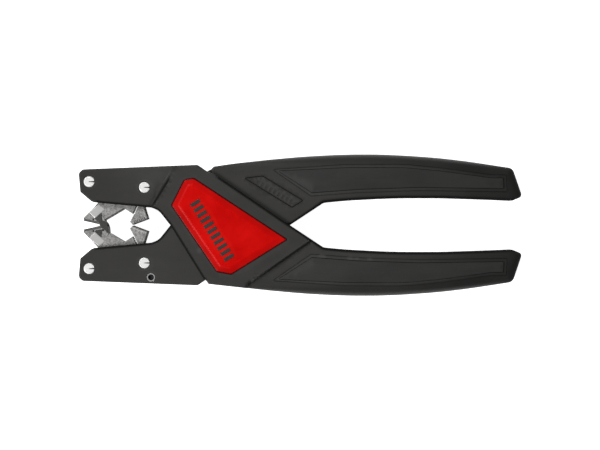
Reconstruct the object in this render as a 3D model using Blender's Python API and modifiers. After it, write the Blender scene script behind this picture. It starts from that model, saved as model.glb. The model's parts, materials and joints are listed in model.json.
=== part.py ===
"""Self-adjusting wire stripping pliers, lying flat: X runs from the jaws (-X) to the
handle ends (+X), Z is the thickness. All dimensions are in millimetres until MM."""

import math

import bmesh
import bpy
from mathutils import Matrix

MM = 0.001
GAP = 0.3  # between pieces that seat on each other

# Heights are given as h, the distance from the mid-plane of the tool.
MID = 10.0
H_SPLIT = 0.15  # half the gap between the two shells of a lever
H_LEVER = 7.8  # outer face of the arms and handles
H_RIM = 8.1  # underside of the centre plate's rims, over the other lever
H_PLATE = 9.6  # outer face of the centre plate
H_TOP = 10.0  # outer face of the badge and of the grip panels
H_CHANNEL = 5.6  # half the width of the channel that holds the jaws
H_HUB = 3.3  # lever B between the cheeks of lever A
H_CHEEK = 4.5  # inner face of lever A's cheeks
H_PLATE_ROOT = 5.0  # where the centre plate starts inside lever A
H_POCKET = 4.6  # weight-saving pockets inside the handles
H_BADGE_SEAT, H_BADGE = 8.9, 9.2  # floor of the badge's recess, underside of the badge
H_GRIP_SEAT, H_GRIP = 7.0, 7.3  # floor of a grip panel's recess, underside of the panel
H_BEYOND = 12.0  # past every face, for cutters that go right through
LEVER_CHAMFER, PLATE_CHAMFER, BADGE_CHAMFER, GRIP_CHAMFER = 1.0, 0.6, 0.5, 1.1

PIVOT = (-28.5, 0.0)
FRONT_PIN = (-85.7, 17.65)
REAR_PIN = (-63.3, 15.35)
STOP_PIN = (-60.6, -21.2)
HUB_R, BORE_R = 12.6, 13.2  # lever B's hub, and its bore in lever A
PIN_BORE_R = 2.5  # bores for the jaw pins in the arms
SHAFT_R, SHAFT_BORE_R, SHAFT_HEAD_R, H_SHAFT_HEAD = 3.5, 3.8, 5.7, 6.3
BUSH_R, H_BUSH = 4.8, 4.2
WASHER_R, H_WASHER = 11.0, 3.6
COIL_POCKET_R, H_COIL_POCKET = 8.6, 2.5
LEG_SLOT_A, LEG_SLOT_B = 1.1, 2.3  # half the heights of the slots for the spring's legs
STOP_R, STOP_HOLE_R, STOP_WEB, H_STOP = 1.7, 1.15, 1.0, 7.9

ARM_TOP = [(-90.0, 20.4), (-89.75, 21.5), (-88.4, 22.7), (-41.7, 24.5), (-38.1, 22.0)]
ARM_FRONT = [(-83.7, 9.24), (-84.9, 9.7), (-89.4, 13.5)]
MOUTH = [(-52.7, 0.0), (-56.9, 5.3), (-58.1, 6.2), (-59.4, 6.7), (-60.6, 7.05),
         (-61.8, 7.25)]
HANDLE_OUTER = [(-36.2, 22.7), (-35.2, 23.8), (-27.7, 24.95), (-13.1, 26.6), (1.5, 27.9),
                (16.1, 28.65), (28.3, 28.8), (40.5, 28.4), (55.1, 27.5), (69.7, 25.7),
                (84.35, 23.4), (85.7, 22.8), (86.8, 21.6), (87.6, 19.8), (90.0, 12.7),
                (89.8, 11.8), (88.9, 10.9), (86.0, 10.0)]
HANDLE_INNER = [(77.0, 10.4), (57.6, 11.0), (38.1, 11.0), (18.6, 10.0), (11.3, 9.4),
                (9.0, 8.75), (-4.25, 0.0)]
PLATE = [(-60.3, 7.0), (-52.9, 20.1), (-51.2, 24.1), (-41.7, 24.45), (-38.1, 21.95),
         (-34.9, 20.8), (-5.05, 0.5), (3.9, -6.35), (-21.0, -23.6), (-22.3, -25.5),
         (-27.7, -24.9), (-35.2, -23.75), (-39.0, -22.3), (-52.7, 0.0), (-56.9, 5.3),
         (-58.1, 6.2)]
BADGE = [(-52.3, 8.0), (-47.1, 18.3), (-43.2, 19.1), (-5.5, -5.8), (-27.9, -20.0),
         (-33.9, -18.9)]
GRIP = [(-9.0, 22.0), (18.2, 23.3), (41.7, 23.4), (56.7, 22.0), (77.4, 19.2),
        (82.5, 19.1), (82.7, 14.8), (48.6, 15.3), (23.9, 14.5), (4.8, 13.1)]

# The room that lever B needs in lever A while the handles close.
SWEEP_LEFT = [(-58.5, 3.8), (-41.0, 3.2), (-35.0, 0.0), (-32.7, -12.6), (-37.6, -23.0),
              (-44.0, -32.0), (-75.0, -32.0), (-75.0, 3.8)]
SWEEP_RIGHT = [(-38.3, 22.2), (-33.8, 12.1), (-30.0, 0.0), (-15.9, -3.2), (-4.0, -3.8),
               (3.0, -0.4), (22.0, 8.0), (22.0, 34.0), (-36.5, 34.0)]
# The edges of lever B beside the hub.
B_LEFT = [(-41.3, 0.3), (-33.3, 12.2), (-37.9, 21.9)]
B_RIGHT = [(-15.5, -0.3), (-33.3, -12.2), (-38.1, -22.0)]

CHANNEL = [(-93.0, 6.0), (-93.0, 13.7), (-88.8, 13.7), (-88.8, 19.6), (-87.6, 20.9),
           (-62.4, 19.3), (-59.2, 16.6), (-59.2, 3.0)]
POCKETS = [[(-2.0, 20.0), (5.0, 15.6), (24.0, 14.4), (24.0, 25.0), (0.0, 24.0)],
           [(36.0, 14.6), (64.0, 14.4), (64.0, 22.6), (50.0, 24.2), (36.0, 25.0)]]
SCREWS = [(-54.3, 14.5), (30.0, -20.0), (72.0, -17.6)]
SCREW_HEAD_R, SCREW_HEAD_H, SCREW_R = 2.8, 1.8, 1.4
SCREW_SEAT, SCREW_END, SCREW_HOLE_END = 4.7, 4.6, 5.2
SOCKET_R, SOCKET_DEPTH = 1.2, 1.0  # the drive socket in a screw's head

# Jaws, upper side.
HEAD = [(-82.4, 9.0), (-88.3, 2.9), (-88.0, 1.7), (-81.4, 0.2), (-79.9, 1.9),
        (-76.9, 3.67), (-77.4, 7.6)]
CHEEK = [(-82.4, 9.0), (-84.4, 6.9), (-83.0, 2.2), (-79.9, 1.9), (-71.6, 6.8), (-68.0, 4.5),
         (-66.3, 8.1), (-66.0, 11.6), (-64.6, 12.2), (-63.3, 11.95), (-61.6, 12.4),
         (-60.4, 13.6), (-59.95, 15.35), (-60.4, 17.1), (-61.6, 18.3), (-63.3, 18.7),
         (-66.5, 17.9), (-78.5, 12.8)]
LEG = [(-88.55, 17.65), (-88.1, 19.1), (-87.1, 20.15), (-85.7, 20.5), (-84.0, 20.0),
       (-70.0, 16.6), (-67.9, 14.6), (-67.8, 11.6), (-65.0, 8.3), (-65.0, 5.2),
       (-67.7, 4.9), (-69.6, 6.1), (-71.4, 7.5), (-74.5, 9.7), (-80.4, 12.2),
       (-84.6, 14.9), (-86.9, 15.0), (-88.1, 16.1)]
REAR_HEAD = [(-66.0, 8.2), (-67.7, 4.4), (-69.2, 1.4), (-68.3, 0.5), (-61.6, 2.5),
             (-63.4, 8.2)]
INSERT = [(-81.8, 8.1), (-80.1, 6.5), (-83.5, 3.4), (-85.5, 5.3)]
PROFILE_UPPER = [(-81.6, 0.35), (-78.7, 0.35), (-78.4, 0.7), (-79.7, 2.1), (-80.4, 3.5),
                 (-82.4, 2.9)]
PROFILE_LOWER = [(-80.6, 0.35), (-78.6, 0.35), (-77.8, 1.15), (-77.9, 3.4), (-79.1, 4.4),
                 (-81.6, 3.4), (-80.7, 2.2)]
BLADE = [(-68.3, 0.5), (-61.6, 2.5), (-63.0, 6.9), (-64.1, 6.6), (-63.1, 3.5),
         (-68.9, 1.8), (-69.2, 1.4)]
BLADE_SEAT = [(-71.0, 1.6), (-68.7, 2.15), (-63.5, 3.72), (-64.5, 6.9), (-62.9, 7.35),
              (-59.0, 8.5), (-59.0, -1.0), (-71.0, -1.0)]
JAW_H = 5.3  # half the width of the jaws' heads
CHEEK_IN = 2.7  # inner face of a front jaw's cheeks
LEG_H = 2.3  # half the thickness of a rear jaw's leg
TAB_R = 2.05  # bores for the jaw pins
NOTCH_H, NOTCH_Y = 2.5, 2.4  # wire passage between the jaws

model = bpy.data.collections.new("wire_stripping_pliers")
cutters = bpy.data.collections.new("cutters")


def clear_scene():
    for obj in list(bpy.data.objects):
        bpy.data.objects.remove(obj, do_unlink=True)
    bpy.context.scene.collection.children.link(model)
    bpy.context.scene.collection.children.link(cutters)


def paint(name, colour, metallic, roughness):
    material = bpy.data.materials.new(name)
    material.use_nodes = True
    shader = material.node_tree.nodes["Principled BSDF"]
    shader.inputs["Base Color"].default_value = (*colour, 1.0)
    shader.inputs["Metallic"].default_value = metallic
    shader.inputs["Roughness"].default_value = roughness
    material.diffuse_color = (*colour, 1.0)
    return material


def flip(outline):
    """The same outline on the lower side of the tool."""
    return [(x, -y) for x, y in outline]


def span(side, low, high):
    """World heights of a layer between two h values, on the front (+1) or rear (-1)."""
    ends = sorted((MID + side * low, MID + side * high))
    return ends[0], ends[1]


def grown(outline, distance):
    """The outline moved outwards by a distance, with mitred corners."""
    count = len(outline)
    area = sum(outline[i][0] * outline[(i + 1) % count][1]
               - outline[(i + 1) % count][0] * outline[i][1] for i in range(count))
    turn = 1.0 if area > 0 else -1.0
    moved = []
    for i, (x, y) in enumerate(outline):
        normals = []
        for start, end in ((outline[i - 1], (x, y)), ((x, y), outline[(i + 1) % count])):
            run_x, run_y = end[0] - start[0], end[1] - start[1]
            length = math.hypot(run_x, run_y)
            normals.append((turn * run_y / length, -turn * run_x / length))
        (ax, ay), (bx, by) = normals
        scale = distance / max(0.35, 1.0 + ax * bx + ay * by)
        moved.append((x + (ax + bx) * scale, y + (ay + by) * scale))
    return moved


def sector(radius_in, radius_out, start, end, steps=4):
    """A ring sector about the pivot, angles in degrees."""
    angles = [math.radians(start + (end - start) * i / steps) for i in range(steps + 1)]
    inner = [(PIVOT[0] + radius_in * math.cos(a), PIVOT[1] + radius_in * math.sin(a))
             for a in angles]
    outer = [(PIVOT[0] + radius_out * math.cos(a), PIVOT[1] + radius_out * math.sin(a))
             for a in angles]
    return inner + outer[::-1]


def placed(name, mesh, group, material=None):
    obj = bpy.data.objects.new(name, mesh)
    group.objects.link(obj)
    if material:
        mesh.materials.append(material)
    if group is cutters:
        obj.hide_render = True
        obj.display_type = "WIRE"
    return obj


def from_curve(name, curve, group, material=None):
    """The closed mesh of a curve, its caps welded to its sides."""
    guide = bpy.data.objects.new(name + "_guide", curve)
    bpy.context.scene.collection.objects.link(guide)
    graph = bpy.context.evaluated_depsgraph_get()
    mesh = bpy.data.meshes.new_from_object(guide.evaluated_get(graph))
    bpy.data.objects.remove(guide, do_unlink=True)
    shape = bmesh.new()
    shape.from_mesh(mesh)
    bmesh.ops.remove_doubles(shape, verts=shape.verts, dist=1e-6)
    bmesh.ops.dissolve_limit(shape, angle_limit=math.radians(0.2), verts=shape.verts,
                             edges=shape.edges)
    bmesh.ops.recalc_face_normals(shape, faces=shape.faces)
    shape.to_mesh(mesh)
    shape.free()
    mesh.name = name
    return placed(name, mesh, group, material)


def flat(name, outline, heights, group=cutters, material=None, chamfer=0.0, side=0):
    """A plate with a filled outline; a chamfer goes round its face on the given side."""
    low, high = heights
    curve = bpy.data.curves.new(name, "CURVE")
    curve.dimensions = "2D"
    curve.fill_mode = "BOTH"
    curve.extrude = (high - low) / 2 * MM
    spline = curve.splines.new("POLY")
    spline.points.add(len(outline) - 1)
    for point, (x, y) in zip(spline.points, outline):
        point.co = (x * MM, y * MM, 0.0, 1.0)
    spline.use_cyclic_u = True
    obj = from_curve(name, curve, group, material)
    obj.data.transform(Matrix.Translation((0.0, 0.0, (low + high) / 2 * MM)))
    if chamfer:
        shape = bmesh.new()
        shape.from_mesh(obj.data)
        edge_z = (high if side > 0 else low) * MM
        rim = [edge for edge in shape.edges
               if all(abs(v.co.z - edge_z) < 1e-7 for v in edge.verts)]
        bmesh.ops.bevel(shape, geom=rim, offset=chamfer * MM, offset_type="OFFSET",
                        segments=1, profile=0.5, affect="EDGES", clamp_overlap=True)
        shape.to_mesh(obj.data)
        shape.free()
    return obj


def bar(name, centre, radius, heights, sides=32, group=cutters, material=None):
    """A plain round bar along Z."""
    low, high = heights
    shape = bmesh.new()
    bmesh.ops.create_cone(shape, cap_ends=True, cap_tris=False, segments=sides,
                          radius1=radius * MM, radius2=radius * MM,
                          depth=(high - low) * MM,
                          matrix=Matrix.Translation((centre[0] * MM, centre[1] * MM,
                                                     (low + high) / 2 * MM)))
    mesh = bpy.data.meshes.new(name)
    shape.to_mesh(mesh)
    shape.free()
    return placed(name, mesh, group, material)


def turned(name, centre, profile, material, ring=False, sides=32):
    """A turned piece: (radius, h) points from the top of its outer side to the bottom."""
    mesh = bpy.data.meshes.new(name)
    points = [(r * MM, 0.0, (MID + h) * MM) for r, h in profile]
    edges = [(i, i + 1) for i in range(len(points) - 1)]
    if ring:
        edges.append((len(points) - 1, 0))
    mesh.from_pydata(points, edges, [])
    obj = placed(name, mesh, model, material)
    obj.location = (centre[0] * MM, centre[1] * MM, 0.0)
    screw = obj.modifiers.new("turn", "SCREW")
    screw.axis = "Z"
    screw.angle = 2 * math.pi
    screw.steps = sides
    screw.render_steps = sides
    screw.use_merge_vertices = True
    screw.merge_threshold = 1e-5
    screw.use_smooth_shade = True
    return obj


def boolean(obj, other, operation):
    """Cuts or joins with a modifier, so the cutter stays editable."""
    step = obj.modifiers.new(operation.lower() + "_" + other.name, "BOOLEAN")
    step.operation = operation
    step.solver = "EXACT"
    step.object = other


def cut(obj, *others):
    for other in others:
        boolean(obj, other, "DIFFERENCE")


def join(obj, *others):
    for other in others:
        boolean(obj, other, "UNION")


def wire(name, path, radius, material, fineness):
    """A bent wire through the given points (x, y, z)."""
    curve = bpy.data.curves.new(name, "CURVE")
    curve.dimensions = "3D"
    curve.bevel_depth = radius * MM
    curve.bevel_resolution = fineness
    curve.use_fill_caps = True
    spline = curve.splines.new("POLY")
    spline.points.add(len(path) - 1)
    for point, (x, y, z) in zip(spline.points, path):
        point.co = (x * MM, y * MM, z * MM, 1.0)
    obj = from_curve(name, curve, model, material)
    for face in obj.data.polygons:
        face.use_smooth = True
    return obj


def coil(centre, radius, start, end, low, high, per_turn, first_leg, last_leg):
    """Points of a torsion spring: a leg, a helix between two angles, a leg."""
    steps = round((end - start) / 360 * per_turn)
    path = list(first_leg)
    for i in range(steps + 1):
        angle = math.radians(start + (end - start) * i / steps)
        path.append((centre[0] + radius * math.cos(angle),
                     centre[1] + radius * math.sin(angle),
                     low + (high - low) * i / steps))
    return path + list(last_leg)


def polar(centre, radius, angle, z):
    """A point at an angle in degrees round a centre."""
    turn = math.radians(angle)
    return (centre[0] + radius * math.cos(turn), centre[1] + radius * math.sin(turn), z)


def body(name, at, members):
    """An empty on the body's joint axis that holds its pieces."""
    holder = bpy.data.objects.new(name, None)
    holder.empty_display_size = 0.004
    holder.location = (at[0] * MM, at[1] * MM, MID * MM)
    model.objects.link(holder)
    bpy.context.view_layer.update()
    for piece in members:
        piece.parent = holder
        piece.matrix_parent_inverse = holder.matrix_world.inverted()


clear_scene()

BLACK = paint("black_shell", (0.041, 0.040, 0.038), 0.0, 0.55)
GRIP_BLACK = paint("black_grip", (0.032, 0.031, 0.030), 0.0, 0.7)
RED = paint("red_badge", (0.58, 0.002, 0.001), 0.0, 0.28)
JAW_STEEL = paint("sintered_steel", (0.26, 0.25, 0.25), 1.0, 0.55)
BRIGHT_STEEL = paint("bright_steel", (0.78, 0.78, 0.78), 1.0, 0.22)
INSERT_STEEL = paint("insert_steel", (0.55, 0.55, 0.54), 1.0, 0.35)
DARK_STEEL = paint("blackened_steel", (0.06, 0.06, 0.058), 1.0, 0.5)
SPRING_STEEL = paint("spring_steel", (0.40, 0.40, 0.42), 1.0, 0.3)
BRONZE = paint("bearing_bronze", (0.50, 0.30, 0.12), 1.0, 0.4)

# Cutters that both levers share.
ALL = (MID - H_BEYOND, MID + H_BEYOND)
boss = bar("boss", PIVOT, HUB_R, ALL, 40)
sweeps = []
for label, outline in (("left", SWEEP_LEFT), ("right", SWEEP_RIGHT)):
    sweep = flat("sweep_" + label, outline, (MID - H_RIM, MID + H_RIM))
    cut(sweep, boss)
    sweeps.append(sweep)
hub_bore = bar("hub_bore", PIVOT, BORE_R, (MID - H_CHEEK, MID + H_CHEEK), 40)
pin_bore = bar("pivot_bore", PIVOT, SHAFT_BORE_R, ALL, 24)
bush_bore = bar("bush_bore", PIVOT, BUSH_R + GAP, ALL, 24)
spring_pocket = bar("spring_pocket", PIVOT, COIL_POCKET_R,
                    (MID - H_COIL_POCKET, MID + H_COIL_POCKET), 32)
leg_slot_a = flat("leg_slot_a", sector(11.5, 18.2, 136.0, 144.0),
                  (MID - LEG_SLOT_A, MID + LEG_SLOT_A))
leg_slot_b = flat("leg_slot_b", sector(7.6, 14.2, 131.0, 158.0, 6),
                  (MID - LEG_SLOT_B, MID + LEG_SLOT_B))
leg_end_b = flat("leg_end_b", sector(7.6, 13.4, 34.0, 46.0),
                 (MID - LEG_SLOT_B, MID + LEG_SLOT_B))


def lever_cutters(lever, arm_y):
    """Cutters that both halves of a lever share. Its arm is at arm_y, its handle opposite."""
    on_arm, on_handle = (list, flip) if arm_y > 0 else (flip, list)
    made = [flat(lever + "_channel", on_arm(CHANNEL), (MID - H_CHANNEL, MID + H_CHANNEL))]
    for label, (x, y) in (("front", FRONT_PIN), ("rear", REAR_PIN)):
        made.append(bar(lever + "_bore_" + label, (x, arm_y * y), PIN_BORE_R, ALL, 24))
    for i, pocket in enumerate(POCKETS):
        made.append(flat(lever + "_pocket_" + str(i), on_handle(pocket),
                         (MID - H_POCKET, MID + H_POCKET)))
    return made


def shell(lever, side, outline, shared):
    """One moulded half of a lever, with its recesses, bores and screw holes."""
    label = "front" if side > 0 else "rear"
    obj = flat("lever_" + lever + "_shell_" + label, outline,
               span(side, H_SPLIT, H_LEVER), model, BLACK, LEVER_CHAMFER, side)
    grip = flip(GRIP) if lever == "a" else GRIP
    tag = lever + "_" + label
    if lever == "a":
        join(obj, flat("plate_" + tag, PLATE, span(side, H_PLATE_ROOT, H_PLATE),
                       chamfer=PLATE_CHAMFER, side=side))
        cut(obj, *sweeps, hub_bore, pin_bore, leg_slot_a)
        cut(obj, bar("head_seat_" + tag, PIVOT, SHAFT_HEAD_R + 0.4,
                     span(side, H_SHAFT_HEAD - GAP, H_BEYOND), 32))
        cut(obj, flat("badge_seat_" + tag, grown(BADGE, GAP),
                      span(side, H_BADGE_SEAT, H_BEYOND)))
    else:
        cut(obj, bar("cheek_seat_" + tag, PIVOT, BORE_R, span(side, H_HUB, H_BEYOND), 40))
        join(obj, bar("hub_" + tag, PIVOT, HUB_R, span(side, H_SPLIT, H_HUB), 40))
        cut(obj, bush_bore, spring_pocket, leg_slot_b, leg_end_b)
        cut(obj, bar("stop_bore_" + tag, STOP_PIN, STOP_R + GAP, ALL, 20))
    cut(obj, *shared)
    cut(obj, flat("grip_seat_" + tag, grown(grip, GAP),
                  span(side, H_GRIP_SEAT, H_BEYOND)))
    for i, (x, screw_y) in enumerate(SCREWS):
        at = (x, screw_y if lever == "a" else -screw_y)
        name = "screw_" + tag + "_" + str(i)
        if side > 0:
            cut(obj, bar(name, at, SCREW_R + GAP, (MID - 1.0, MID + SCREW_HOLE_END), 12))
        else:
            cut(obj, bar(name, at, SCREW_R + GAP, (MID - H_BEYOND, MID + 1.0), 12))
            cut(obj, bar(name + "_head", at, SCREW_HEAD_R + GAP,
                         span(side, SCREW_SEAT - GAP, H_BEYOND), 16))
    return obj


LEVER_A = (ARM_TOP + PLATE[5:7] + [(-4.25, 0.0)] + flip(HANDLE_INNER[::-1][1:])
           + flip(HANDLE_OUTER[::-1]) + [(-39.0, -22.3)] + MOUTH + ARM_FRONT)
LEVER_B = (flip(ARM_TOP[:-1]) + B_RIGHT[::-1] + HANDLE_INNER[::-1] + HANDLE_OUTER[::-1]
           + B_LEFT[::-1] + flip(MOUTH) + flip(ARM_FRONT))
shared_a = lever_cutters("a", 1.0)
shared_b = lever_cutters("b", -1.0)
lever_a = [shell("a", side, LEVER_A, shared_a) for side in (1, -1)]
lever_b = [shell("b", side, LEVER_B, shared_b) for side in (1, -1)]

for side, label in ((1, "front"), (-1, "rear")):
    lever_a.append(flat("badge_" + label, BADGE, span(side, H_BADGE, H_TOP), model, RED,
                        BADGE_CHAMFER, side))
    for lever, group in (("a", lever_a), ("b", lever_b)):
        grip = flip(GRIP) if lever == "a" else GRIP
        group.append(flat("grip_panel_" + lever + "_" + label, grip,
                          span(side, H_GRIP, H_TOP), model, GRIP_BLACK, GRIP_CHAMFER, side))

lever_a.append(turned("pivot_pin", PIVOT, [
    (0.0, 8.0), (5.3, 8.0), (SHAFT_HEAD_R, 7.6), (SHAFT_HEAD_R, H_SHAFT_HEAD),
    (SHAFT_R, H_SHAFT_HEAD), (SHAFT_R, -6.1), (2.8, -6.1), (2.8, -7.5), (SHAFT_R, -7.5),
    (SHAFT_R, -8.4), (0.0, -8.4)], BRIGHT_STEEL, sides=24))
lever_b.append(turned("pivot_bush", PIVOT, [
    (BUSH_R, H_BUSH), (BUSH_R, -H_BUSH), (SHAFT_BORE_R, -H_BUSH),
    (SHAFT_BORE_R, H_BUSH)], BRONZE, True, 24))
for side, label in ((1, "front"), (-1, "rear")):
    bottom, top = sorted((side * H_WASHER, side * H_BUSH))
    lever_a.append(turned("thrust_washer_" + label, PIVOT, [
        (WASHER_R, top), (WASHER_R, bottom), (BUSH_R + GAP, bottom),
        (BUSH_R + GAP, top)], BRONZE, True, 24))
ring = turned("pivot_retaining_ring", PIVOT, [
    (5.6, -6.4), (5.6, -7.2), (3.1, -7.2), (3.1, -6.4)], SPRING_STEEL, True, 20)
cut(ring, flat("ring_slot", [(-28.5, -1.6), (-20.0, -2.2), (-20.0, 2.2), (-28.5, 1.6)],
               (MID - 9.0, MID - 5.0)))
lever_a.append(ring)

lever_b.append(wire("opening_spring", coil(
    PIVOT, 6.9, 40.0, 140.0 + 720.0, MID - 1.5, MID + 1.5, 18,
    [polar(PIVOT, 12.4, 40.0, MID - 1.2)],
    [polar(PIVOT, 12.0, 140.0, MID + 0.5), polar(PIVOT, 16.8, 140.0, MID)]),
    0.6, SPRING_STEEL, 1))

for lever, group, arm_y in (("a", lever_a, 1.0), ("b", lever_b, -1.0)):
    for i, (x, y) in enumerate(SCREWS):
        group.append(turned("shell_screw_" + lever + "_" + str(i + 1), (x, arm_y * y), [
            (0.0, SCREW_END), (SCREW_R, SCREW_END), (SCREW_R, -SCREW_SEAT),
            (SCREW_HEAD_R, -SCREW_SEAT), (SCREW_HEAD_R, -SCREW_SEAT - 1.2),
            (1.7, -SCREW_SEAT - SCREW_HEAD_H), (SOCKET_R, -SCREW_SEAT - SCREW_HEAD_H),
            (1.0, -SCREW_SEAT - SCREW_HEAD_H + SOCKET_DEPTH),
            (0.0, -SCREW_SEAT - SCREW_HEAD_H + SOCKET_DEPTH)], DARK_STEEL, sides=12))

# Bored from both ends, with a web left in the middle.
lever_b.append(turned("stop_pin_hollow", STOP_PIN, [
    (0.0, STOP_WEB), (STOP_HOLE_R, STOP_WEB), (STOP_HOLE_R, H_STOP), (STOP_R, H_STOP),
    (STOP_R, -H_STOP), (STOP_HOLE_R, -H_STOP), (STOP_HOLE_R, -STOP_WEB),
    (0.0, -STOP_WEB)], BRIGHT_STEEL, sides=20))


def jaw_pin(name, centre):
    """A pin with a full-width head at each end and a thinner waist that carries a jaw."""
    return turned(name, centre, [
        (0.0, 8.1), (1.9, 8.1), (2.2, 7.8), (2.2, 5.9), (1.75, 5.5), (1.75, -5.5),
        (2.2, -5.9), (2.2, -7.8), (1.9, -8.1), (0.0, -8.1)], BRIGHT_STEEL, sides=20)


def jaws(label, up):
    """The two jaws of one arm, with their inserts, pins, spacers and return spring."""
    turn = list if up > 0 else flip
    front_at = (FRONT_PIN[0], up * FRONT_PIN[1])
    rear_at = (REAR_PIN[0], up * REAR_PIN[1])
    notch = flat("notch_" + label, turn([(-95.0, -1.0), (-58.0, -1.0), (-58.0, NOTCH_Y),
                                         (-95.0, NOTCH_Y)]),
                 (MID - NOTCH_H, MID + NOTCH_H))

    front = flat("front_jaw_" + label, turn(HEAD), (MID - JAW_H, MID + JAW_H), model,
                 JAW_STEEL)
    for side in (1, -1):
        join(front, flat("cheek_" + label + "_" + str(side), turn(CHEEK),
                         span(side, CHEEK_IN, JAW_H - 0.05)))
    profile_outline = PROFILE_UPPER if up > 0 else PROFILE_LOWER
    cut(front, notch, bar("tab_bore_" + label, rear_at, TAB_R, ALL, 20),
        flat("insert_seat_" + label, turn(grown(INSERT, GAP)), ALL),
        flat("profile_seat_" + label, turn(grown(profile_outline, GAP)), ALL))

    rear = flat("rear_jaw_" + label, turn(LEG), (MID - LEG_H, MID + LEG_H), model,
                JAW_STEEL)
    join(rear, flat("rear_head_" + label, turn(REAR_HEAD), (MID - JAW_H, MID + JAW_H)))
    cut(rear, notch, bar("leg_bore_" + label, front_at, TAB_R, ALL, 20),
        flat("blade_seat_" + label, turn(BLADE_SEAT), ALL))

    insert = flat("grip_insert_" + label, turn(INSERT), (MID - 5.5, MID + 5.5), model,
                  INSERT_STEEL, 0.3, 1)
    profile = flat("clamp_profile_" + label, turn(profile_outline),
                   (MID - 4.9, MID + 4.9), model, DARK_STEEL)
    cut(profile, notch)
    blade = flat("stripping_blade_" + label, turn(BLADE), (MID - 5.0, MID + 5.0), model,
                 DARK_STEEL)
    cut(blade, notch)

    fixed = [jaw_pin("jaw_pin_" + label + "_front", front_at),
             jaw_pin("jaw_pin_" + label + "_rear", rear_at)]
    for side, name in ((1, "front"), (-1, "rear")):
        top, bottom = (5.3, 2.6) if side > 0 else (-2.6, -5.3)
        fixed.append(turned("leg_spacer_" + label + "_" + name, front_at, [
            (2.9, top), (2.9, bottom), (2.05, bottom), (2.05, top)], BRIGHT_STEEL, True,
            16))
    spring_start, spring_end = (200.0, 1810.0) if up > 0 else (160.0, 1790.0)
    spring = wire("jaw_spring_" + label, coil(
        rear_at, 2.6, spring_start, spring_end, MID - 1.75, MID + 1.75, 10,
        [polar(rear_at, 3.75, spring_start, MID - 1.75)],
        [polar(rear_at, 3.5, spring_end, MID + 1.75)]), 0.33, SPRING_STEEL, 0)
    fixed.append(spring)
    body("front_jaw_" + label + "_axis", rear_at, [front, insert, profile])
    body("rear_jaw_" + label + "_axis", front_at, [rear, blade])
    return fixed


lever_a += jaws("upper", 1.0)
lever_b += jaws("lower", -1.0)
body("lever_a_axis", PIVOT, lever_a)
body("lever_b_axis", PIVOT, lever_b)
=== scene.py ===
"""Looks of the wire stripping pliers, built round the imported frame.

Outlines and heights are in millimetres. h is a height from the tool's mid-plane, outwards:
the front half is built at +h and the rear half at -h.
"""

import json
import math
from types import SimpleNamespace

import bmesh
import bpy
import numpy as np
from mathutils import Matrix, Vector
from mathutils.geometry import delaunay_2d_cdt


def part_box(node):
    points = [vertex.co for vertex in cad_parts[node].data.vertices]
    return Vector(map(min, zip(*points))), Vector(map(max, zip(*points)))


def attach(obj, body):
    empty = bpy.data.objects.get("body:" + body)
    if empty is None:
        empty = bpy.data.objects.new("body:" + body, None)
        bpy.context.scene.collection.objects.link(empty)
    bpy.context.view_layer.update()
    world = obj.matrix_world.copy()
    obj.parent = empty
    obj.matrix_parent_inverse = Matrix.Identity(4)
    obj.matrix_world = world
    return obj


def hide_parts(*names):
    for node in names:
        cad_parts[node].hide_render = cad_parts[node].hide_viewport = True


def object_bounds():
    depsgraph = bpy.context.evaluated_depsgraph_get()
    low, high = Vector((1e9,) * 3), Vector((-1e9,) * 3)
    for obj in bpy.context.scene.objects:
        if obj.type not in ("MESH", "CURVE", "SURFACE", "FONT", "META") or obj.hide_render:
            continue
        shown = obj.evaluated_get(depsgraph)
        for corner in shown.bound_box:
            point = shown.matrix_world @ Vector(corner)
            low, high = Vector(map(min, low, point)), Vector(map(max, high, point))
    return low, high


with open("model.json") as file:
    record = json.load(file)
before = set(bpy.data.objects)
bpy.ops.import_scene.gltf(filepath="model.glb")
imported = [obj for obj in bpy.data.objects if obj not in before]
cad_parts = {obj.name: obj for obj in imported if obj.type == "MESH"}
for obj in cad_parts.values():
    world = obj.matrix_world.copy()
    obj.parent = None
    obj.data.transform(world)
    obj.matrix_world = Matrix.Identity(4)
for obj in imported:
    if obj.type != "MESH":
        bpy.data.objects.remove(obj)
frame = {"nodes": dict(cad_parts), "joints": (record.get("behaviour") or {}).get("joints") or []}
cad_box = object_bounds()

MM = 0.001
JOINT_AT = {joint["name"]: joint["pos_m"] for joint in frame["joints"]}
*PIVOT, MID = (value / MM for value in JOINT_AT["handle_squeeze"])


def centre_of(node):
    """The centre of a CAD node in X and Y, in millimetres."""
    low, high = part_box(node)
    return (low.x + high.x) / 2 / MM, (low.y + high.y) / 2 / MM


FRONT_PIN = centre_of("jaw_pin_upper_front")
REAR_PIN = centre_of("jaw_pin_upper_rear")
STOP_PIN = centre_of("stop_pin_hollow")
ARM_SCREW = centre_of("shell_screw_a_1")
HALF_BOX = np.array(cad_box[1][:2]) / MM

FACES = {1: "front", -1: "rear"}

# Layers, as in the CAD model.
H_SPLIT, H_LEVER, H_RIM, H_PLATE, H_TOP = 0.15, 7.8, 8.1, 9.6, 10.0
H_CHANNEL, H_HUB, H_CHEEK = 5.6, 3.3, 4.5
H_HANDLE = 9.25  # crown of the handles, round the grip panels
H_BADGE_SEAT, H_GRIP_SEAT, H_SCREW_SEAT, H_RECESS = 8.9, 7.0, 4.4, 2.5

# Round features: the hub of lever B, the pins and their holes, the recesses round the pivot.
HUB_R, BORE_R, RECESS_R = 12.6, 13.2, 8.6
WELL_R = {"a": 6.1, "b": 5.1}
PIN_R, PIN_HOLE_R, WAIST_R = 2.2, 2.42, 1.75
STOP_R, STOP_BORE_R, STOP_HOLE_R, SCREW_SEAT_R = 1.7, 1.22, 1.85, 3.1
COIL_R, COIL_WIRE, COIL_LEG, COIL_HALF = 2.4, 0.3, 2.95, 1.7

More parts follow.
